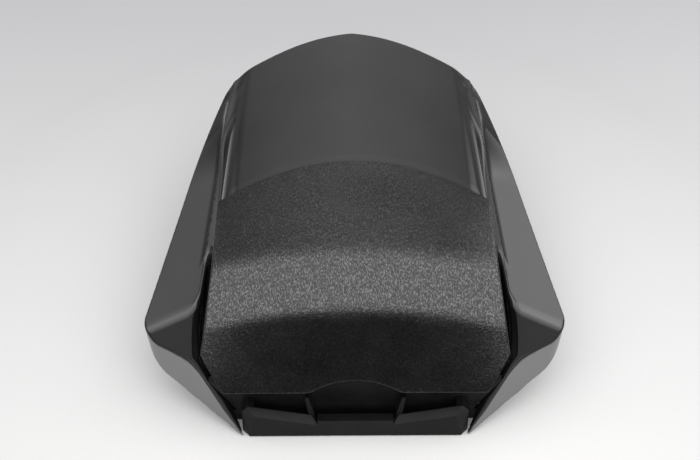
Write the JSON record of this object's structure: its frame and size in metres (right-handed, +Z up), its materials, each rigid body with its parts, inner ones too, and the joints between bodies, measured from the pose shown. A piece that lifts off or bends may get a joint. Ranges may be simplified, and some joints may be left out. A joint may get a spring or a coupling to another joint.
{
  "type": "seat cowl",
  "caption": "Moulded black seat cowl with a grained backrest panel, a closing pan and a latch loop, which takes the place of a pillion seat.",
  "frame": {"origin": "centre of the bounding box's footprint, on the plane of the four buffers", "axes": "+X to the right seen from the panel's side, +Y towards the pointed tail, +Z up"},
  "size_m": [0.2646, 0.3045, 0.1249],
  "materials": {
    "gloss_shell": "gloss black moulded plastic",
    "grained_panel": "charcoal plastic with a fine pebble grain",
    "pan_plastic": "satin black moulded plastic",
    "zinc_steel": "zinc-plated steel",
    "buffer_rubber": "matt black rubber"
  },
  "bodies": {
    "root": {"cowl_shell": "gloss_shell", "backrest_panel": "grained_panel", "panel_nuts": "zinc_steel", "base_pan": "pan_plastic", "pan_screws": "zinc_steel", "latch_plate": "zinc_steel", "latch_loop": "zinc_steel", "latch_bolts": "zinc_steel", "latch_washers": "zinc_steel", "latch_nuts": "zinc_steel", "buffer_front_left": "buffer_rubber", "buffer_front_right": "buffer_rubber", "buffer_rear_left": "buffer_rubber", "buffer_rear_right": "buffer_rubber"}
  },
  "joints": []
}
